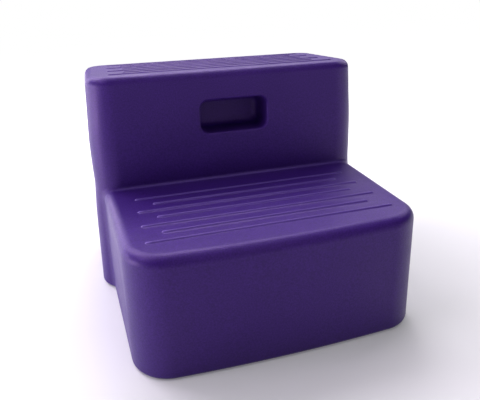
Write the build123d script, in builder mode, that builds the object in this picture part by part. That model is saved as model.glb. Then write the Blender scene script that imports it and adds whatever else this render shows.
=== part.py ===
from build123d import *
import math
import os

os.makedirs("parts", exist_ok=True)

# ---------------------------------------------------------------------------
# Two-tread mounting block: a hollow one-piece moulding with a wide rear block
# (upper tread), a lower step in front of it, a hand-hold pocket in the riser,
# moulded anti-slip ribs, and a screw-in filler bung in the rear wall.
#
# Frame: the steps are climbed from -Y towards +Y, +X is the right hand side,
# +Z up. The origin is under the middle of the block, on the floor.
# All sizes in millimetres.
# ---------------------------------------------------------------------------

# rear block (carries the upper tread)
upper_height = 402.4          # top of the upper tread, without its ribs
rear_half_top_front = 250.0   # half widths of the plan, at the top
rear_half_top_rear = 253.3
rear_flare = 20.5             # how much each side leans out down to the base
riser_y_top = 9.2             # front wall of the rear block
riser_y_base = 14.0
rear_y_top = 258.7            # back wall
rear_y_base = 278.4
rear_corner_r = 48.0          # vertical corners beside the riser
rear_back_corner_r = 41.0     # vertical corners at the back wall
rear_top_edge_r = 14.5        # edge round the upper tread

# lower step
lower_height = 203.2          # tread height at the riser
tread_fall_deg = 0.53         # the tread falls to the front, so water runs off
lower_half_top_rear = 244.0   # half widths at the riser
lower_half_top_front = 225.2  # and at the front corners: the step tapers
lower_flare = 6.0
front_y_top = -268.5          # line through the front corners
front_y_base = -265.7
front_bow = 9.9               # the front wall is gently bowed
lower_corner_r = 55.5
nose_r = 17.0                 # edge round the lower tread
lower_into_rear = 100.0       # how far the step's core runs into the block

junction_r = 6.5              # fillet at the riser foot and down both sides
base_edge_r = 8.0

# moulding wall
wall = 5.0
base_arch = 4.0               # the underside is raised inside a flat rim
base_rim = 52.0

# hand-hold pocket in the riser
hold_width = 127.0
hold_height = 60.0
hold_x = 4.0                  # a little to the right of the middle
hold_z = 320.3
hold_depth = 62.0
hold_corner_r = 16.0
hold_draft_deg = 2.0
hold_lip_r = 3.6

# anti-slip ribs: seven on each tread, long and short in turn
rib_width = 6.4
rib_height = 2.1
rib_pitch = 28.9
rib_count = 7
lower_rib_first = 47.6        # first rib in front of the middle of the block
lower_rib_pitch = 28.6
lower_rib_long = 194.4        # half lengths
lower_rib_short = 167.2
upper_rib_first = 32.9        # first rib behind the riser's top
upper_rib_long = 210.0
upper_rib_short = 183.0

# filler: a recess in the back wall, a threaded collar, a bung and its seal
filler_z = 318.0
recess_d = 84.0
recess_floor_y = 242.0        # the bung's head stays inside the back wall
recess_lip_r = 2.0
collar_proud = 0.6            # the collar's face stands clear of the recess floor
collar_d = 58.0
collar_flange_d = 68.0
collar_flange_t = 5.0
collar_length = 24.0
collar_bore_d = 40.0
boss_d = 82.0
seal_outer_d = 54.0
seal_t = 3.0
bung_shank_d = 39.3
bung_shank_length = 17.0
bung_head_d = 60.0
bung_head_t = 7.0
grip_length = 50.0
grip_width = 9.0
grip_height = 8.0
thread_pitch = 4.0            # 3.5 turns free the bung: 14 mm of travel

# vent: a pressed plug closes the moulding's breather hole in the underside
vent_y = 140.0
vent_hole_d = 12.0
vent_head_d = 22.0
vent_head_t = 2.6


def lower_plane():
    t = math.radians(tread_fall_deg)
    return Plane(
        origin=(0, riser_y_base, lower_height),
        x_dir=(1, 0, 0),
        z_dir=(0, -math.sin(t), math.cos(t)),
    )


def plan(plane, half_front, half_rear, y_front, y_rear, bow):
    """Outline of a step: tapered, with a gently bowed front."""
    with BuildSketch(plane) as s:
        with BuildLine():
            fl, fr = (-half_front, y_front), (half_front, y_front)
            rl, rr = (-half_rear, y_rear), (half_rear, y_rear)
            if bow > 0:
                ThreePointArc(fl, (0, y_front - bow), fr)
            else:
                Line(fl, fr)
            Line(fr, rr)
            Line(rr, rl)
            Line(rl, fl)
        make_face()
    return s


def upright_edges(part):
    """The four edges between the walls of a drafted core."""
    return part.edges().filter_by(lambda e: abs(e.tangent_at(0.5).Z) > 0.7)


def lower_core(inset, z_low):
    """The lower step's drafted core, inset from the outer skin."""
    y_end_base = riser_y_base + lower_into_rear
    span = riser_y_base - front_y_top
    widen = (lower_half_top_rear - lower_half_top_front) / span * lower_into_rear
    top = lower_plane().offset(-inset)
    a = plan(
        Plane.XY.offset(z_low),
        lower_half_top_front + lower_flare - inset,
        lower_half_top_rear + widen + lower_flare - inset,
        front_y_base + inset,
        y_end_base - inset,
        front_bow,
    )
    b = plan(
        top,
        lower_half_top_front - inset,
        lower_half_top_rear + widen - inset,
        front_y_top - riser_y_base + inset,
        lower_into_rear - inset,
        front_bow,
    )
    return a, b


def rear_core(inset, z_low):
    """The rear block's drafted core, inset from the outer skin."""
    a = plan(
        Plane.XY.offset(z_low),
        rear_half_top_front + rear_flare - inset,
        rear_half_top_rear + rear_flare - inset,
        riser_y_base + inset,
        rear_y_base - inset,
        0,
    )
    b = plan(
        Plane.XY.offset(upper_height - inset),
        rear_half_top_front - inset,
        rear_half_top_rear - inset,
        riser_y_top + inset,
        rear_y_top - inset,
        0,
    )
    return a, b


# ---------------------------------------------------------------------------
# cores of the outer skin and of the hollow inside it
# ---------------------------------------------------------------------------
low_a, low_b = lower_core(0, 0)
with BuildPart() as lower_skin:
    add(low_a.sketch)
    add(low_b.sketch)
    loft(ruled=True)
    fillet(upright_edges(lower_skin).sort_by(Axis.Y)[:2], radius=lower_corner_r)
    top_face = lower_skin.faces().sort_by(Axis.Z)[-1]
    rim = top_face.edges().sort_by(Axis.Y)[:-1]
    fillet(rim, radius=nose_r)

up_a, up_b = rear_core(0, 0)
with BuildPart() as rear_skin:
    add(up_a.sketch)
    add(up_b.sketch)
    loft(ruled=True)
    fillet(upright_edges(rear_skin).sort_by(Axis.Y)[:2], radius=rear_corner_r)
    fillet(upright_edges(rear_skin).sort_by(Axis.Y)[-2:], radius=rear_back_corner_r)
    fillet(rear_skin.faces().sort_by(Axis.Z)[-1].edges(), radius=rear_top_edge_r)

low_c, low_d = lower_core(wall, base_arch + wall)
with BuildPart() as lower_hollow:
    add(low_c.sketch)
    add(low_d.sketch)
    loft(ruled=True)
    fillet(upright_edges(lower_hollow).sort_by(Axis.Y)[:2], radius=lower_corner_r - wall)
    inner_top = lower_hollow.faces().sort_by(Axis.Z)[-1]
    fillet(inner_top.edges().sort_by(Axis.Y)[:-1], radius=nose_r - wall)

up_c, up_d = rear_core(wall, base_arch + wall)
with BuildPart() as rear_hollow:
    add(up_c.sketch)
    add(up_d.sketch)
    loft(ruled=True)
    fillet(upright_edges(rear_hollow).sort_by(Axis.Y)[:2], radius=rear_corner_r - wall)
    fillet(upright_edges(rear_hollow).sort_by(Axis.Y)[-2:], radius=rear_back_corner_r - wall)
    fillet(rear_hollow.faces().sort_by(Axis.Z)[-1].edges(), radius=rear_top_edge_r - wall)

riser_plane = Plane(origin=(hold_x, riser_y_top, hold_z), x_dir=(1, 0, 0), z_dir=(0, -1, 0))
recess_plane = Plane(origin=(0, recess_floor_y, filler_z), x_dir=(-1, 0, 0), z_dir=(0, 1, 0))

# the hollow stops short of the hand-hold pocket and of the filler boss
with BuildPart() as hollow:
    add(lower_hollow.part)
    add(rear_hollow.part)
    with BuildSketch(riser_plane.offset(20)):
        RectangleRounded(
            hold_width + 2 * wall + 4, hold_height + 2 * wall + 4, hold_corner_r + wall
        )
    extrude(amount=-(20 + hold_depth + wall), mode=Mode.SUBTRACT)
    with BuildSketch(recess_plane.offset(40)):
        Circle(recess_d / 2 + wall)
    extrude(amount=-(40 + wall), mode=Mode.SUBTRACT)
    with BuildSketch(recess_plane):
        Circle(boss_d / 2)
    extrude(amount=-(collar_length + 4), mode=Mode.SUBTRACT)

# ---------------------------------------------------------------------------
# block shell
# ---------------------------------------------------------------------------
with BuildPart() as block_shell:
    add(lower_skin.part)
    add(rear_skin.part)

    # fillet along the riser's foot and down both sides to the floor
    foot = (
        block_shell.edges()
        .filter_by_position(Axis.Y, riser_y_top - 1, riser_y_base + 45)
        .filter_by_position(Axis.Z, -0.5, lower_height + 2)
        .filter_by(lambda e: e.center().Z > 1.0)
        .filter_by(lambda e: 0.5 < abs(e.center().X) or abs(e.center().Z - lower_height) < 4)
    )
    concave = [
        e
        for e in foot
        if abs(e.center().Z - lower_height) < 6
        or abs(abs(e.center().X) - lower_half_top_rear) < 14
    ]
    fillet(concave, radius=junction_r)

    # rounded edge round the base
    base = block_shell.faces().sort_by(Axis.Z)[0]
    fillet(base.edges(), radius=base_edge_r)

    # raised underside inside the flat rim
    with BuildSketch(Plane.XY):
        with BuildLine():
            Polyline(
                (-(lower_half_top_front - base_rim), front_y_base + base_rim),
                (lower_half_top_front - base_rim, front_y_base + base_rim),
                (rear_half_top_rear - base_rim + 8, rear_y_base - base_rim),
                (-(rear_half_top_rear - base_rim + 8), rear_y_base - base_rim),
                close=True,
            )
        make_face()
        fillet(vertices(), radius=40)
    extrude(amount=base_arch, taper=30, mode=Mode.SUBTRACT)

    # anti-slip ribs, lower tread: every second one is shorter
    for i in range(rib_count):
        half = lower_rib_long if i % 2 == 0 else lower_rib_short
        y = -(lower_rib_first + lower_rib_pitch * i)
        with BuildSketch(lower_plane().shift_origin(lower_plane().from_local_coords((0, y, 0)))):
            SlotOverall(2 * half, rib_width)
        extrude(amount=rib_height)
    # and upper tread, in the same order from the back edge
    for i in range(rib_count):
        half = upper_rib_long if i % 2 == 0 else upper_rib_short
        y = riser_y_top + upper_rib_first + rib_pitch * i
        with BuildSketch(Plane.XY.offset(upper_height).shift_origin((0, y, upper_height))):
            SlotOverall(2 * half, rib_width)
        extrude(amount=rib_height)
    rib_tops = block_shell.faces().filter_by(
        lambda f: f.area < 2 * upper_rib_long * rib_width + 10
        and f.area > 2 * lower_rib_short * rib_width * 0.9
        and f.normal_at().Z > 0.99
    )
    fillet([e for f in rib_tops for e in f.edges()], radius=rib_height * 0.9)

    # hand-hold pocket
    with BuildSketch(riser_plane.offset(8)):
        RectangleRounded(hold_width, hold_height, hold_corner_r)
    extrude(amount=-(hold_depth + 8), taper=hold_draft_deg, mode=Mode.SUBTRACT)
    lip = (
        block_shell.edges()
        .filter_by_position(Axis.Z, hold_z - hold_height / 2 - 1, hold_z + hold_height / 2 + 1)
        .filter_by_position(Axis.X, hold_x - hold_width / 2 - 1, hold_x + hold_width / 2 + 1)
        .filter_by_position(Axis.Y, riser_y_top - 1, riser_y_base + 2)
    )
    fillet(lip, radius=hold_lip_r)
    floor_edges = (
        block_shell.edges()
        .filter_by_position(Axis.Z, hold_z - hold_height / 2 - 1, hold_z + hold_height / 2 + 1)
        .filter_by_position(Axis.X, hold_x - hold_width / 2 - 1, hold_x + hold_width / 2 + 1)
        .filter_by_position(Axis.Y, riser_y_top + hold_depth - 1, riser_y_top + hold_depth + 1)
    )
    fillet(floor_edges, radius=12)

    # hollow inside
    add(hollow.part, mode=Mode.SUBTRACT)

    # filler recess, collar seat and the flange groove that locks the collar
    with BuildSketch(recess_plane.offset(50)):
        Circle(recess_d / 2)
    extrude(amount=-50, mode=Mode.SUBTRACT)
    recess_edges = block_shell.edges().filter_by_position(
        Axis.Y, recess_floor_y - 0.5, rear_y_base
    ).filter_by(
        lambda e: abs(e.center().X) < recess_d / 2
        and abs(e.center().Z - filler_z) < recess_d / 2
        and e.length > 2.5 * recess_d
    )
    fillet(recess_edges, radius=recess_lip_r)
    with BuildSketch(recess_plane):
        Circle(collar_d / 2)
    extrude(amount=-(collar_length + 10), mode=Mode.SUBTRACT)
    with BuildSketch(recess_plane.offset(-10)):
        Circle(collar_flange_d / 2)
    extrude(amount=-collar_flange_t, mode=Mode.SUBTRACT)

    # breather hole in the underside
    with BuildSketch(Plane.XY.shift_origin((0, vent_y, 0))):
        Circle(vent_hole_d / 2)
    extrude(amount=base_arch + wall + 6, mode=Mode.SUBTRACT)

block_shell.part.label = "block_shell"

# ---------------------------------------------------------------------------
# filler collar: moulded into the back wall, its flange gripped by the plastic
# ---------------------------------------------------------------------------
with BuildPart() as filler_collar:
    with BuildSketch(recess_plane.offset(collar_proud)):
        Circle(collar_d / 2)
    extrude(amount=-collar_length - collar_proud)
    face_rim = filler_collar.faces().sort_by(Axis.Y)[-1].edges()
    chamfer(face_rim, length=0.4)
    with BuildSketch(recess_plane.offset(-10)):
        Circle(collar_flange_d / 2)
    extrude(amount=-collar_flange_t)
    with BuildSketch(recess_plane.offset(collar_proud)):
        Circle(collar_bore_d / 2)
    extrude(amount=-collar_length - collar_proud, mode=Mode.SUBTRACT)
    mouth = filler_collar.edges().filter_by(GeomType.CIRCLE).filter_by(
        lambda e: abs(e.radius - collar_bore_d / 2) < 0.1
    )
    chamfer(mouth, length=0.8)
filler_collar.part.label = "filler_collar"

# ---------------------------------------------------------------------------
# bung seal: a flat rubber ring under the bung's head
# ---------------------------------------------------------------------------
with BuildPart() as bung_seal:
    with BuildSketch(recess_plane.offset(collar_proud + 0.02)):
        Circle(seal_outer_d / 2)
        Circle(bung_shank_d / 2 + 0.5, mode=Mode.SUBTRACT)
    extrude(amount=seal_t)
    outer_rim = bung_seal.edges().filter_by(
        lambda e: e.geom_type == GeomType.CIRCLE and abs(e.radius - seal_outer_d / 2) < 0.1
    )
    fillet(outer_rim, radius=0.9)
bung_seal.part.label = "bung_seal"

# ---------------------------------------------------------------------------
# filler bung: hollow threaded shank, scalloped head and a grip bar
# ---------------------------------------------------------------------------
head_plane = recess_plane.offset(collar_proud + 0.04 + seal_t)
with BuildPart() as filler_bung:
    with BuildSketch(head_plane):
        Circle(bung_head_d / 2)
        with PolarLocations(bung_head_d / 2 + 3.2, 18):
            Circle(5.0, mode=Mode.SUBTRACT)
    extrude(amount=bung_head_t)
    with BuildSketch(head_plane.offset(bung_head_t)):
        SlotOverall(grip_length, grip_width)
    extrude(amount=grip_height, taper=4)
    bar_top = filler_bung.faces().sort_by(Axis.Y)[-1]
    fillet(bar_top.edges(), radius=2.0)
    with BuildSketch(head_plane):
        Circle(bung_shank_d / 2)
    extrude(amount=-bung_shank_length)
    tip = filler_bung.faces().sort_by(Axis.Y)[0]
    chamfer(tip.edges(), length=1.5)
    with BuildSketch(head_plane.offset(-bung_shank_length)):
        Circle(bung_shank_d / 2 - 4.5)
    extrude(amount=bung_shank_length - 1.0, mode=Mode.SUBTRACT)
filler_bung.part.label = "filler_bung"

# ---------------------------------------------------------------------------
# vent plug: pressed into the breather hole from below
# ---------------------------------------------------------------------------
with BuildPart() as vent_plug:
    with BuildSketch(Plane.XY.offset(base_arch - vent_head_t).shift_origin((0, vent_y, base_arch - vent_head_t))):
        Circle(vent_head_d / 2)
    extrude(amount=vent_head_t)
    head_rim = vent_plug.faces().sort_by(Axis.Z)[0].edges()
    fillet(head_rim, radius=1.2)
    with BuildSketch(Plane.XY.offset(base_arch).shift_origin((0, vent_y, base_arch))):
        Circle(vent_hole_d / 2)
    extrude(amount=wall)
    with BuildSketch(Plane.XY.offset(base_arch + wall).shift_origin((0, vent_y, base_arch + wall))):
        Circle(vent_hole_d / 2 + 1.0)
    extrude(amount=4.0, taper=18)
vent_plug.part.label = "vent_plug"

for piece in (block_shell, filler_collar, bung_seal, filler_bung, vent_plug):
    export_step(piece.part, f"parts/{piece.part.label}.step")
    bb = piece.part.bounding_box()
    print(
        piece.part.label,
        "solids", len(piece.part.solids()),
        "valid", piece.part.is_valid,
        "volume cm3", round(piece.part.volume / 1000, 1),
        "min", tuple(round(v, 2) for v in bb.min),
        "max", tuple(round(v, 2) for v in bb.max),
    )
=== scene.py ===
import math

import bmesh
import bpy
import numpy as np
from mathutils import Matrix, Vector


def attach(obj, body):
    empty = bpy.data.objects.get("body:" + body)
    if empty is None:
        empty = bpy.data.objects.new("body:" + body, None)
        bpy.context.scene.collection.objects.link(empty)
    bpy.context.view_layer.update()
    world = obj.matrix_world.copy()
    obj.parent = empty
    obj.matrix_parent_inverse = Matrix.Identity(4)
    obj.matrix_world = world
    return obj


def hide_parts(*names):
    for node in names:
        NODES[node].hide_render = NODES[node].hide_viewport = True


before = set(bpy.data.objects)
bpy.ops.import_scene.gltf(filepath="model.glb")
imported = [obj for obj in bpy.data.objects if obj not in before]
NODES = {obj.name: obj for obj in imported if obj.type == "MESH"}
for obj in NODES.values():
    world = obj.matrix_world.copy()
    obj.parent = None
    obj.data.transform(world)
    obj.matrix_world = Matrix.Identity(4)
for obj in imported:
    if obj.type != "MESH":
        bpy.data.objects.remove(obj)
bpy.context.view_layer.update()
MM = 0.001

# ---------------------------------------------------------------------------
# The moulded shell. Its skin is one smooth implicit surface, in millimetres:
# two drafted cores with rounded edges, joined by a fillet, with the hand-hold,
# the filler recess, the raised underside and the anti-slip ribs. The numbers
# are those of the CAD model.
# ---------------------------------------------------------------------------
UPPER_Z, LOWER_Z, FALL = 402.4, 203.2, math.radians(0.53)
RISER_TOP, RISER_BASE = 9.2, 14.0
REAR_TOP, REAR_BASE = 258.7, 278.4
FRONT_TOP, FRONT_BASE, BOW = -268.5, -265.7, 9.9
RIB_W, RIB_H, RIB_PITCH, LOW_PITCH = 6.4, 2.1, 28.9, 28.6
LOW_RIB = (-47.6, 194.4, 167.2)     # first rib, long and short half lengths
UP_RIB = (RISER_TOP + 32.9, 210.0, 183.0)
HOLD_X, HOLD_Z, HOLD_W, HOLD_H, HOLD_D = 4.0, 320.3, 63.5, 30.0, 62.0
FILL_Z, FILL_R = 318.0, 42.0
FILL_FLOOR = 242.0


def cut_round(a, b, r):
    """What a and b share, with a rounded edge of radius r."""
    return np.minimum(-r, np.maximum(a, b)) + np.hypot(np.maximum(a + r, 0), np.maximum(b + r, 0))


def join_round(a, b, r):
    """a and b together, with a fillet of radius r between them."""
    return np.maximum(r, np.minimum(a, b)) - np.hypot(np.maximum(r - a, 0), np.maximum(r - b, 0))


def smooth_curve(points):
    """A dense, smooth version of a few (z, value) points."""
    z, v = np.array(sorted(points), float).T
    dense = np.linspace(z[0], z[-1], 600)
    i = np.clip(np.searchsorted(z, dense, side="right") - 1, 0, len(z) - 2)
    t = (dense - z[i]) / (z[i + 1] - z[i])
    slope = np.gradient(v, z)
    h = z[i + 1] - z[i]
    out = (
        (2 * t**3 - 3 * t**2 + 1) * v[i]
        + (t**3 - 2 * t**2 + t) * h * slope[i]
        + (-2 * t**3 + 3 * t**2) * v[i + 1]
        + (t**3 - t**2) * h * slope[i + 1]
    )
    return dense, out


# How far the rear block's side walls stand in or out of their straight draft:
# a moulding this size bellies out a little between its stiff edges.
BELLY = smooth_curve([(-10, 0), (60, 0.2), (120, 0.5), (165, 0), (205, -1.7), (245, 0), (290, 1.3), (345, 0), (385, -1.2), (420, -1.8)])


def rib_bars(x, y, z):
    """Distance to the nearest rib and how near its left end is, 0 to 1."""
    ax = np.abs(x)
    r = (RIB_W**2 / 4 + RIB_H**2) / (2 * RIB_H)
    is_low = y < RISER_BASE - 12
    first = np.where(is_low, LOW_RIB[0], UP_RIB[0])
    step = np.where(is_low, -LOW_PITCH, RIB_PITCH)
    i = np.clip(np.round((y - first) / step), 0, 6)
    long_half = np.where(is_low, LOW_RIB[1], UP_RIB[1])
    short_half = np.where(is_low, LOW_RIB[2], UP_RIB[2])
    half = np.where(i % 2 == 0, long_half, short_half) - RIB_W / 2
    level = np.where(is_low, LOWER_Z + (y - RISER_BASE) * math.tan(FALL), UPPER_Z)
    rib = np.sqrt(
        np.maximum(ax - half, 0) ** 2 + (y - first - step * i) ** 2 + (z - level + r - RIB_H) ** 2
    ) - r
    return rib, np.clip(1 - np.abs(x + half) / 4.5, 0, 1)


def skin(x, y, z):
    """Signed field of the shell's outside, in millimetres: negative inside."""
    ax = np.abs(x)
    k_low = 1 - z / LOWER_Z
    w = 225.2 + (y - FRONT_TOP) * (18.8 / 282.5) + 6.0 * k_low
    side = (ax - w) / 1.0027
    front = FRONT_TOP + 2.8 * k_low - BOW * (1 - np.minimum(ax / w, 1.2) ** 2) - y
    low = cut_round(side, front, 55.5)
    top = (z - LOWER_Z - (y - RISER_BASE) * math.tan(FALL)) * math.cos(FALL)
    low = cut_round(low, top, 17.0)
    low = np.maximum(low, y - RISER_BASE - 100)

    k_up = 1 - z / UPPER_Z
    w = 250.0 + (y - RISER_TOP) * 0.0132 + 20.5 * k_up + np.interp(z, *BELLY)
    side = (ax - w) / 1.0014
    rear = cut_round(side, RISER_TOP + 4.8 * k_up - y, 48.0)
    rear = cut_round(rear, (y - REAR_TOP - 19.7 * k_up) / 1.0012, 41.0)
    rear = cut_round(rear, z - UPPER_Z, 14.5)

    body = join_round(low, rear, 6.5)
    body = cut_round(body, -z, 8.0)

    # ribs: a half-round bar with round ends, sunk in the tread
    rib = rib_bars(x, y, z)[0]
    body = join_round(body, rib, 0.9)

    # hand-hold pocket
    shrink = (y - (RISER_TOP - 8)) * math.tan(math.radians(2.0))
    hold = cut_round(np.abs(x - HOLD_X) - HOLD_W + shrink, np.abs(z - HOLD_Z) - HOLD_H + shrink, 16.0)
    hold = cut_round(hold, y - RISER_TOP - HOLD_D, 12.0)
    body = cut_round(body, -hold, 3.6)

    # filler recess in the back wall
    recess = cut_round(np.hypot(x, z - FILL_Z) - FILL_R, FILL_FLOOR - y, 2.0)
    body = cut_round(body, -recess, 2.0)
    hole = cut_round(np.hypot(x, z - FILL_Z) - 24.5, 205 - y, 2.0)
    body = cut_round(body, -hole, 0.4)

    # raised underside inside a flat rim
    under = (ax - 173.2 - (y + 213.7) * (36.1 / 440.1)) / 1.0034
    under = cut_round(under, -213.7 - y, 40.0)
    under = cut_round(under, y - 226.4, 40.0)
    under = cut_round(under + z * math.tan(math.radians(30)), z - 4.0, 1.0)
    return cut_round(body, -under, 1.5)


def spread(*runs):
    """Grid lines: each run is (from, to, spacing)."""
    lines = []
    for a, b, s in runs:
        n = max(1, int(round((b - a) / s)))
        lines += list(np.linspace(a, b, n + 1)[:-1])
    return np.array(lines + [runs[-1][1]])


def rib_lines(first, step, gap):
    """Grid lines across seven ribs: close together on a rib, wider between."""
    lines = []
    for i in range(7):
        c = first + step * i
        lines += [c + d for d in (-4.3, -3.0, -1.9, -0.8, 0.8, 1.9, 3.0, 4.3)]
        if i < 6:
            a, b = (c + 4.3, c + step - 4.3) if step > 0 else (c + step + 4.3, c - 4.3)
            n = int(round((b - a) / gap))
            lines += list(np.linspace(a, b, n + 1)[1:-1])
    return np.array(sorted(lines))


def merge_lines(*groups):
    lines = np.array(sorted(np.concatenate(groups)))
    keep = [lines[0]]
    for v in lines[1:]:
        if v - keep[-1] > 0.35:
            keep.append(v)
    return np.array(keep)


outer_x = (
    (71, 161, 11.3), (161, 169, 1.6), (169, 178, 4.5), (178, 185, 1.75), (185, 189, 4), (189, 197, 1.6),
    (197, 205, 4), (205, 212, 1.75), (212, 237, 3.1), (237, 278, 3.75),
)
xs = merge_lines(
    -spread((75, 161, 12.3), *outer_x[1:]), spread((-67, -53, 2.0), (-53, -46, 3.5), (-46, -36, 2.5), (-36, 36, 9.0),
    (36, 46, 2.5), (46, 61, 4.9), (61, 75, 2.0)), spread((75, 161, 12.3), *outer_x[1:]), np.array([-71.0]),
)
low_first, up_first = LOW_RIB[0], UP_RIB[0]
ys = merge_lines(
    spread((-282, -258, 2.6), (-258, low_first - 6 * LOW_PITCH - 8, 6)),
    rib_lines(low_first, -LOW_PITCH, 10.2),
    spread((low_first + 8, 2, 8.0), (2, 26, 2.0), (26, up_first - 8, 4.5)),
    rib_lines(up_first, RIB_PITCH, 10.2),
    spread((up_first + 6 * RIB_PITCH + 8, 238, 5), (238, 284, 2.7)),
)
zs = spread(
    (-2.6, 6.6, 1.3), (6.6, 12, 2.7), (12, 180, 14), (180, 197, 2.6), (197, 206, 0.85), (206, 214, 2), (214, 275, 11),
    (275, 296, 2.2), (296, 343, 6), (343, 362, 2.2), (362, 384, 5.5), (384, 400, 2.2), (400, 405.4, 0.7),
)


def lattice_field(xs, ys, zs):
    """The field at every lattice point."""
    return skin(
        xs[:, None, None].astype(np.float32), ys[None, :, None].astype(np.float32), zs[None, None, :].astype(np.float32)
    )


def surface(xs, ys, zs, f):
    """Quads of the zero surface on an uneven lattice: one vertex in each cell that it crosses."""
    inside = f < 0
    corners = [(i, j, k) for i in (0, 1) for j in (0, 1) for k in (0, 1)]
    nx, ny, nz = f.shape
    total = np.zeros((nx - 1, ny - 1, nz - 1), np.int8)
    for i, j, k in corners:
        total += inside[i : nx - 1 + i, j : ny - 1 + j, k : nz - 1 + k]
    active = (total > 0) & (total < 8)
    ids = np.full(active.shape, -1, np.int64)
    cells = np.argwhere(active)
    ids[active] = np.arange(len(cells))
    value = {c: f[cells[:, 0] + c[0], cells[:, 1] + c[1], cells[:, 2] + c[2]].astype(float) for c in corners}
    total_pos, hits = np.zeros((len(cells), 3)), np.zeros(len(cells))
    for c in corners:
        for axis in range(3):
            if c[axis]:
                continue
            d = list(c)
            d[axis] = 1
            a, b = value[c], value[tuple(d)]
            crossed = (a < 0) != (b < 0)
            t = np.where(crossed, a / np.where(crossed, a - b, 1), 0)
            point = np.tile(np.array(c, float), (len(cells), 1))
            point[:, axis] = t
            total_pos += point * crossed[:, None]
            hits += crossed
    local = total_pos / hits[:, None]
    verts = np.empty((len(cells), 3))
    for axis, lines in enumerate((xs, ys, zs)):
        verts[:, axis] = lines[cells[:, axis]] + local[:, axis] * np.diff(lines)[cells[:, axis]]
    quads = []
    for axis in range(3):
        u, v = (axis + 1) % 3, (axis + 2) % 3
        lo = [slice(None)] * 3
        hi = [slice(None)] * 3
        lo[axis], hi[axis] = slice(0, -1), slice(1, None)
        a, b = inside[tuple(lo)], inside[tuple(hi)]
        p = np.argwhere(a != b)
        p = p[(p[:, u] > 0) & (p[:, v] > 0) & (p[:, u] < f.shape[u] - 1) & (p[:, v] < f.shape[v] - 1)]
        start_in = inside[p[:, 0], p[:, 1], p[:, 2]]
        ring = []
        for du, dv in ((0, 0), (-1, 0), (-1, -1), (0, -1)):
            q = p.copy()
            q[:, u] += du
            q[:, v] += dv
            ring.append(ids[q[:, 0], q[:, 1], q[:, 2]])
        ring = np.stack(ring, 1)
        ring[~start_in] = ring[~start_in][:, ::-1]
        quads.append(ring)
    return verts, np.concatenate(quads)


def gradient(field, p, e=0.05):
    g = np.empty_like(p)
    for axis in range(3):
        d = np.zeros(3)
        d[axis] = e
        a, b = p + d, p - d
        g[:, axis] = (field(a[:, 0], a[:, 1], a[:, 2]) - field(b[:, 0], b[:, 1], b[:, 2])) / (2 * e)
    return g


def mesh_object(name, verts, faces, normals=None):
    """A smooth mesh object, from millimetres."""
    mesh = bpy.data.meshes.new(name)
    mesh.from_pydata([tuple(v) for v in verts * MM], [], [tuple(int(i) for i in q) for q in faces])
    mesh.polygons.foreach_set("use_smooth", np.ones(len(mesh.polygons), bool))
    if normals is not None:
        mesh.normals_split_custom_set_from_vertices([tuple(n) for n in normals])
    mesh.update()
    obj = bpy.data.objects.new(name, mesh)
    bpy.context.scene.collection.objects.link(obj)
    return obj


def skinned(name, field, xs, ys, zs, values, reach, e=0.05):
    """A closed smooth object on the zero surface of a field."""
    verts, quads = surface(xs, ys, zs, values)
    for _ in range(6):     # bring every vertex onto the surface itself
        f = field(verts[:, 0], verts[:, 1], verts[:, 2])
        g = gradient(field, verts, e)
        step = (f / np.maximum((g**2).sum(1), 0.1))[:, None] * g
        size = np.linalg.norm(step, axis=1, keepdims=True)
        verts -= step * np.minimum(1, reach / np.maximum(size, 1e-9))
    g = gradient(field, verts, 2 * e)
    g /= np.maximum(np.linalg.norm(g, axis=1, keepdims=True), 1e-9)
    print(name, len(verts), "vertices", len(quads), "quads")
    return mesh_object(name, verts, quads, g)


shell = skinned("shell_skin", skin, xs, ys, zs, lattice_field(xs, ys, zs), 1.2)
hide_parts("block_shell")
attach(shell, "block")
# painted highlight: paler and smoother along the ribs' crests, most on their left ends, faint on the upper tread
at = np.empty(3 * len(shell.data.vertices))
shell.data.vertices.foreach_get("co", at)
at = at.reshape(-1, 3) / MM
off, end = rib_bars(at[:, 0], at[:, 1], at[:, 2])
painted_highlight = np.clip(1 - off / 0.55, 0, 1) * np.interp(at[:, 2], (150, 160, 300, 400), (0, 1, 1, 0.12)) * (0.36 + 0.64 * np.sqrt(end))
# and, less, a painted highlight in the fillet at the riser's foot
up_from = at[:, 2] - LOWER_Z - (at[:, 1] - RISER_BASE) * math.tan(FALL)
out_from = RISER_TOP + 4.8 * (1 - at[:, 2] / UPPER_Z) - at[:, 1]
near = (up_from < 6.6) & (out_from < 6.6)
painted_highlight = np.maximum(painted_highlight, np.where(near, np.clip(np.minimum(up_from, out_from) / 1.3, 0, 1) * 0.42, 0))
shell.data.attributes.new("painted_highlight", "FLOAT", "POINT").data.foreach_set("value", painted_highlight.astype(np.float32))

# ---------------------------------------------------------------------------
# The filler bung and the collar that it screws into. Both are turned about a
# line along Y through x 0, z 318, and share one right-hand thread, 4 mm pitch.
# ---------------------------------------------------------------------------
PITCH = 4.0
COLLAR_FACE = 242.6
HEAD_BACK = 245.64
HEAD_FACE = HEAD_BACK + 7.0
BAR_TOP = HEAD_FACE + 8.0
SHANK_TIP = HEAD_BACK - 17.0


def thread_wave(x, y, z):
    """0 in the root and 1 on the crest of the helix."""
    turn = y / PITCH - np.arctan2(x, z - FILL_Z) / (2 * math.pi)
    wave = 0.5 + 0.5 * np.cos(2 * math.pi * turn)
    return np.clip((wave - 0.16) / 0.66, 0, 1) ** 0.85


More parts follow.
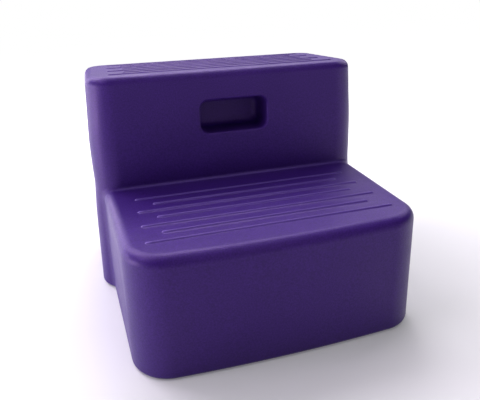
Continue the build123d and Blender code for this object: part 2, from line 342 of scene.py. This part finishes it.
def bung_field(x, y, z):
    dz = z - FILL_Z
    rho = np.hypot(x, dz)
    # head: a disc with eighteen finger scallops
    sector = math.radians(20)
    a = np.mod(np.arctan2(dz, x) + sector / 2, sector) - sector / 2
    scallop = 5.0 - np.hypot(rho * np.cos(a) - 33.2, rho * np.sin(a))
    rim = cut_round(rho - 30.0, scallop, 0.7)
    head = cut_round(rim, y - HEAD_FACE, 1.0)
    head = cut_round(head, HEAD_BACK - y, 0.5)
    # a shallow dish in the face, so the grip bar stands on a rim-framed floor
    dish = cut_round(rho - 25.2, HEAD_FACE - 1.1 - y, 0.8)
    head = cut_round(head, -dish, 0.5)
    # grip bar, drafted for the mould
    lean = (y - HEAD_FACE) * math.tan(math.radians(4.0))
    bar = np.hypot(np.maximum(np.abs(x) - 20.5, 0), dz) - 4.5 + lean
    bar = cut_round(bar, y - BAR_TOP, 1.9)
    bar = np.maximum(bar, HEAD_BACK + 2 - y)
    body = join_round(head, bar, 1.2)
    # threaded shank
    run_in = np.clip((y - SHANK_TIP - 0.6) / 2.0, 0, 1) * np.clip((HEAD_BACK - 1.2 - y) / 1.6, 0, 1)
    outer = rho - 18.1 - 1.5 * thread_wave(x, y, z) * run_in
    shank = cut_round(outer * 0.85, SHANK_TIP - y, 0.9)
    shank = np.maximum(shank, y - HEAD_BACK - 1)
    body = join_round(body, shank, 0.5)
    bore = cut_round(rho - 15.15, y - (HEAD_BACK - 1.0), 1.5)
    return cut_round(body, -bore, 0.5)


def collar_field(x, y, z):
    rho = np.hypot(x, z - FILL_Z)
    ring = cut_round(rho - 29.0, y - COLLAR_FACE, 0.5)
    ring = np.maximum(ring, COLLAR_FACE - 24.6 - y)
    flange = np.maximum(rho - 34.0, np.abs(y - 229.5) - 2.5)
    body = join_round(ring, flange, 0.8)
    lead = np.clip((COLLAR_FACE - 1.0 - y) / 1.5, 0, 1)
    bore = rho - 20.05 - 1.25 * (thread_wave(x, y, z) * lead + (1 - lead) * 0.6)
    return cut_round(body, -bore * 0.9, 0.35)


def grid(a, b, step):
    return np.linspace(a, b, int(round((b - a) / step)) + 1)


def turned(name, field, radius, y0, y1, step):
    gx, gy, gz = grid(-radius, radius, step), grid(y0, y1, step), grid(FILL_Z - radius, FILL_Z + radius, step)
    values = field(
        gx[:, None, None].astype(np.float32), gy[None, :, None].astype(np.float32), gz[None, None, :].astype(np.float32)
    )
    return skinned(name, field, gx, gy, gz, values, step * 0.4, 0.03)


bung = turned("bung", bung_field, 31.0, SHANK_TIP - 0.9, BAR_TOP + 0.9, 0.5)
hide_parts("filler_bung")
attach(bung, "bung")
collar = turned("collar", collar_field, 35.0, COLLAR_FACE - 25.4, COLLAR_FACE + 0.8, 0.66)
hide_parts("filler_collar")
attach(collar, "block")


# ---------------------------------------------------------------------------
# Materials
# ---------------------------------------------------------------------------
def new_material(name):
    mat = bpy.data.materials.new(name)
    mat.use_nodes = True
    nt = mat.node_tree
    nt.nodes.clear()
    out = nt.nodes.new("ShaderNodeOutputMaterial")
    bsdf = nt.nodes.new("ShaderNodeBsdfPrincipled")
    nt.links.new(bsdf.outputs[0], out.inputs[0])
    return mat, nt, bsdf


def node(nt, kind, **values):
    n = nt.nodes.new(kind)
    for key, value in values.items():
        if key in n.inputs:
            n.inputs[key].default_value = value
        else:
            setattr(n, key, value)
    return n


def ramp(nt, source, stops):
    r = nt.nodes.new("ShaderNodeValToRGB")
    r.color_ramp.elements[0].position, r.color_ramp.elements[0].color = stops[0]
    r.color_ramp.elements[1].position, r.color_ramp.elements[1].color = stops[-1]
    for pos, col in stops[1:-1]:
        e = r.color_ramp.elements.new(pos)
        e.color = col
    nt.links.new(source, r.inputs[0])
    return r


def grey(v):
    return (v, v, v, 1.0)


def moulded_plastic(name, color, rough, grain=1.0, edge_light=1.35, specular=0.5, tint=(1.0, 1.0, 1.0)):
    """Matt moulded polyethylene: a fine blasted grain over a slight orange peel,
    cloudy pigment, edges rubbed a little paler and smoother, and a painted
    highlight, paler and smoother, on what the mesh's attribute marks."""
    mat, nt, bsdf = new_material(name)
    L = nt.links.new
    bsdf.inputs["Specular IOR Level"].default_value = specular
    bsdf.inputs["IOR"].default_value = 1.51
    bsdf.inputs["Specular Tint"].default_value = (*tint, 1.0)
    coord = nt.nodes.new("ShaderNodeTexCoord")

    cloud = node(nt, "ShaderNodeTexNoise", Scale=9.0, Detail=4.0, Roughness=0.55)
    L(coord.outputs["Object"], cloud.inputs["Vector"])
    fleck = node(nt, "ShaderNodeTexNoise", Scale=420.0, Detail=2.0, Roughness=0.6)
    L(coord.outputs["Object"], fleck.inputs["Vector"])
    geo = nt.nodes.new("ShaderNodeNewGeometry")

    dark = tuple(c * 0.94 for c in color) + (1.0,)
    pale = tuple(c * 1.06 for c in color) + (1.0,)
    base = ramp(nt, cloud.outputs["Fac"], [(0.3, dark), (0.7, pale)])
    speck = ramp(nt, fleck.outputs["Fac"], [(0.34, grey(0.78)), (0.66, grey(1.20))])
    mixed = node(nt, "ShaderNodeMix", data_type="RGBA", blend_type="MULTIPLY")
    mixed.inputs["Factor"].default_value = 1.0
    L(base.outputs["Color"], mixed.inputs[6])
    L(speck.outputs["Color"], mixed.inputs[7])

    wear_noise = node(nt, "ShaderNodeTexNoise", Scale=34.0, Detail=5.0, Roughness=0.65)
    L(coord.outputs["Object"], wear_noise.inputs["Vector"])
    edge = ramp(nt, geo.outputs["Pointiness"], [(0.515, grey(0.0)), (0.60, grey(1.0))])
    patchy = ramp(nt, wear_noise.outputs["Fac"], [(0.42, grey(0.0)), (0.66, grey(1.0))])
    wear = node(nt, "ShaderNodeMath", operation="MULTIPLY")
    L(edge.outputs["Color"], wear.inputs[0])
    L(patchy.outputs["Color"], wear.inputs[1])
    soft = node(nt, "ShaderNodeMath", operation="MULTIPLY")
    L(wear.outputs[0], soft.inputs[0])
    soft.inputs[1].default_value = 0.35
    worn = node(nt, "ShaderNodeMix", data_type="RGBA")
    L(soft.outputs[0], worn.inputs["Factor"])
    L(mixed.outputs[2], worn.inputs[6])
    worn.inputs[7].default_value = tuple(min(1.0, c * edge_light + 0.01) for c in color) + (1.0,)
    # painted highlight: a per-vertex mask on the shell lightens the colour here and, below, lowers the roughness a
    # little
    painted_highlight = node(nt, "ShaderNodeAttribute", attribute_name="painted_highlight")
    painted_highlight_color = node(nt, "ShaderNodeMix", data_type="RGBA")
    L(painted_highlight.outputs["Fac"], painted_highlight_color.inputs["Factor"])
    L(worn.outputs[2], painted_highlight_color.inputs[6])
    painted_highlight_color.inputs[7].default_value = tuple(min(1.0, c * 1.9 + 0.06) for c in color) + (1.0,)
    L(painted_highlight_color.outputs[2], bsdf.inputs["Base Color"])

    smear = node(nt, "ShaderNodeTexNoise", Scale=16.0, Detail=6.0, Roughness=0.6, Distortion=0.4)
    L(coord.outputs["Object"], smear.inputs["Vector"])
    rough_map = node(nt, "ShaderNodeMapRange")
    L(smear.outputs["Fac"], rough_map.inputs["Value"])
    rough_map.inputs["From Min"].default_value = 0.3
    rough_map.inputs["From Max"].default_value = 0.7
    rough_map.inputs["To Min"].default_value = rough - 0.035
    rough_map.inputs["To Max"].default_value = rough + 0.045
    rubbed = node(nt, "ShaderNodeMath", operation="MULTIPLY_ADD")
    L(wear.outputs[0], rubbed.inputs[0])
    rubbed.inputs[1].default_value = -0.06
    L(rough_map.outputs[0], rubbed.inputs[2])
    highlight_smoothed_rough = node(nt, "ShaderNodeMath", operation="MULTIPLY_ADD")
    L(painted_highlight.outputs["Fac"], highlight_smoothed_rough.inputs[0])
    highlight_smoothed_rough.inputs[1].default_value = -0.09
    L(rubbed.outputs[0], highlight_smoothed_rough.inputs[2])
    L(highlight_smoothed_rough.outputs[0], bsdf.inputs["Roughness"])

    peel = node(nt, "ShaderNodeTexNoise", Scale=115.0, Detail=2.0, Roughness=0.5)
    L(coord.outputs["Object"], peel.inputs["Vector"])
    blast = node(nt, "ShaderNodeTexVoronoi", Scale=900.0, feature="F1")
    L(coord.outputs["Object"], blast.inputs["Vector"])
    b1 = node(nt, "ShaderNodeBump", Strength=0.16 * grain, Distance=0.0012)
    L(peel.outputs["Fac"], b1.inputs["Height"])
    b2 = node(nt, "ShaderNodeBump", Strength=0.40 * grain, Distance=0.00030)
    L(blast.outputs["Distance"], b2.inputs["Height"])
    L(b1.outputs["Normal"], b2.inputs["Normal"])
    L(b2.outputs["Normal"], bsdf.inputs["Normal"])
    return mat


BODY = (0.0385, 0.0112, 0.1500)
body_mat = moulded_plastic("moulded_body", BODY, 0.42, specular=0.35, tint=(0.80, 0.58, 1.0))
shell.data.materials.append(body_mat)
black_mat = moulded_plastic("black_plastic", (0.022, 0.022, 0.024), 0.4)
rubber_mat = moulded_plastic("seal_rubber", (0.014, 0.014, 0.014), 0.62, grain=0.6)
bung.data.materials.append(black_mat)
collar.data.materials.append(black_mat)
for name, mat in (("vent_plug", black_mat), ("bung_seal", rubber_mat)):
    o = NODES[name]
    o.data.materials.clear()
    o.data.materials.append(mat)

# ---------------------------------------------------------------------------
# Stage: pale floor, soft studio light, camera
# ---------------------------------------------------------------------------
def disc(name, radii, sides=96):
    """A flat round floor, in rings."""
    verts, faces = [(0.0, 0.0, 0.0)], []
    for k, r in enumerate(radii):
        verts += [(r * math.cos(2 * math.pi * i / sides), r * math.sin(2 * math.pi * i / sides), 0.0) for i in range(sides)]
        a, b = 1 + (k - 1) * sides, 1 + k * sides
        for i in range(sides):
            j = (i + 1) % sides
            faces.append((0, b + i, b + j) if k == 0 else (a + i, b + i, b + j, a + j))
    mesh = bpy.data.meshes.new(name)
    mesh.from_pydata(verts, [], faces)
    obj = bpy.data.objects.new(name, mesh)
    bpy.context.scene.collection.objects.link(obj)
    return obj


floor = disc("floor", [0.5, 1.0, 1.6, 2.4, 4.0, 8.0, 16.0])
floor_mat, nt, bsdf = new_material("floor")
bsdf.inputs["Roughness"].default_value = 0.9
bsdf.inputs["Specular IOR Level"].default_value = 0.1
coord = nt.nodes.new("ShaderNodeTexCoord")
split = nt.nodes.new("ShaderNodeSeparateXYZ")
nt.links.new(coord.outputs["Object"], split.inputs[0])
# pale paper, with painted shade: a little greyer in a strip before the block.
# Painted light: the floor glows faintly near the block and fully far off.
front = node(nt, "ShaderNodeMapRange")
nt.links.new(split.outputs["Y"], front.inputs["Value"])
front.inputs["From Min"].default_value = -2.0
front.inputs["From Max"].default_value = 0.0
paper = (0.83, 0.88, 0.79, 1.0)
painted_shade_grey = (0.50, 0.53, 0.48, 1.0)
shade = ramp(nt, front.outputs[0], [(0.30, paper), (0.52, painted_shade_grey), (0.60, painted_shade_grey), (0.77, paper)])
shade.color_ramp.interpolation = "EASE"
nt.links.new(shade.outputs["Color"], bsdf.inputs["Base Color"])
# painted light: the floor's glow, faint near the block and full beyond 1.7 m
far = node(nt, "ShaderNodeVectorMath", operation="DISTANCE")
nt.links.new(coord.outputs["Object"], far.inputs[0])
far.inputs[1].default_value = (0.0, 0.0, 0.0)
glow = node(nt, "ShaderNodeMapRange", interpolation_type="SMOOTHSTEP")
nt.links.new(far.outputs["Value"], glow.inputs["Value"])
glow.inputs["From Min"].default_value = 0.95
glow.inputs["From Max"].default_value = 1.7
glow.inputs["To Min"].default_value = 0.10
glow.inputs["To Max"].default_value = 1.0
bsdf.inputs["Emission Color"].default_value = (1, 1, 1, 1)
nt.links.new(glow.outputs[0], bsdf.inputs["Emission Strength"])
floor.data.materials.append(floor_mat)


def area_light(name, place, target, size, power, color=(1, 1, 1)):
    data = bpy.data.lights.new(name, "AREA")
    data.shape = "RECTANGLE"
    data.size, data.size_y = size
    data.energy = power
    data.color = color
    obj = bpy.data.objects.new(name, data)
    obj.location = place
    obj.rotation_euler = (Vector(target) - Vector(place)).to_track_quat("-Z", "Y").to_euler()
    bpy.context.scene.collection.objects.link(obj)
    return obj


AIM = (0.0, 0.0, 0.2)
PLAIN, COOL, LILAC = (1.0, 1.0, 1.0), (0.92, 0.84, 1.0), (0.88, 0.76, 1.0)
# soft panels in a ring round the block: height angle, turn from the front
# towards the left, width, height, watts, filter
PANELS = [
    (0, 90, 0.9, 0.25, 21.5, LILAC), (7, 60, 0.9, 0.45, 0.5, LILAC), (7, 120, 0.9, 0.45, 11.0, LILAC),
    (7, 150, 0.9, 0.45, 4.2, LILAC), (7, 300, 0.9, 0.45, 2.2, LILAC), (32, 350, 1.0, 1.0, 5.6, LILAC), (20, 140, 0.8, 0.8, 8.5, LILAC),
    (30, 150, 1.1, 1.1, 5.4, COOL), (30, 180, 1.1, 1.1, 5.2, COOL), (30, 210, 1.1, 1.1, 4.2, COOL),
    (30, 240, 1.1, 1.1, 10.5, COOL), (42, 80, 0.8, 0.8, 10.0, LILAC), (48, 130, 0.8, 0.8, 18.0, LILAC), (60, 105, 1.4, 1.4, 15.0, LILAC),
    (48, 150, 0.8, 0.8, 5.2, COOL), (48, 170, 0.8, 0.8, 9.5, COOL), (48, 215, 0.8, 0.8, 8.0, COOL),
    (62, 195, 0.9, 0.9, 20.0, COOL), (78, 190, 0.9, 0.9, 5.0, LILAC), (70, 325, 1.0, 1.0, 6.0, PLAIN),
]
for up_angle, turn, wide, tall, watts, color in PANELS:
    e, a = math.radians(up_angle), math.radians(turn)
    d = Vector((-math.sin(a) * math.cos(e), -math.cos(a) * math.cos(e), math.sin(e)))
    place = Vector((0, 0, 0.15)) + d * 2.4
    area_light("panel_%02d_%03d" % (up_angle, turn), place, AIM, (wide, tall), watts, color)

world = bpy.data.worlds.new("studio")
bpy.context.scene.world = world
world.use_nodes = True
wt = world.node_tree
wt.nodes.clear()
w_out = wt.nodes.new("ShaderNodeOutputWorld")
bg = wt.nodes.new("ShaderNodeBackground")
bg.inputs["Color"].default_value = (1, 1, 1, 1)
bg.inputs["Strength"].default_value = 0.0
sky = wt.nodes.new("ShaderNodeBackground")      # the plain white that the camera sees
sky.inputs["Color"].default_value = (1, 1, 1, 1)
sky.inputs["Strength"].default_value = 1.0
path = wt.nodes.new("ShaderNodeLightPath")
mix = wt.nodes.new("ShaderNodeMixShader")
wt.links.new(path.outputs["Is Camera Ray"], mix.inputs[0])
wt.links.new(bg.outputs[0], mix.inputs[1])
wt.links.new(sky.outputs[0], mix.inputs[2])
wt.links.new(mix.outputs[0], w_out.inputs[0])

cam_data = bpy.data.cameras.new("camera")
cam_data.sensor_width = 36.0
cam_data.sensor_fit = "HORIZONTAL"
cam_data.lens = 35.5255
cam_data.clip_end = 60
camera = bpy.data.objects.new("camera", cam_data)
right = Vector((0.9591059, -0.28043349, -0.03837872))
ahead = Vector((0.24764023, 0.8970446, -0.36604003))
right.normalize()
ahead = (ahead - right * ahead.dot(right)).normalized()
up = right.cross(ahead).normalized()
camera.matrix_world = Matrix((
    (right.x, up.x, -ahead.x, -0.2226),
    (right.y, up.y, -ahead.y, -0.8235),
    (right.z, up.z, -ahead.z, 0.49225),
    (0, 0, 0, 1),
))
bpy.context.scene.collection.objects.link(camera)
bpy.context.scene.camera = camera
bpy.context.scene.view_settings.view_transform = "Standard"
bpy.context.scene.view_settings.look = "None"
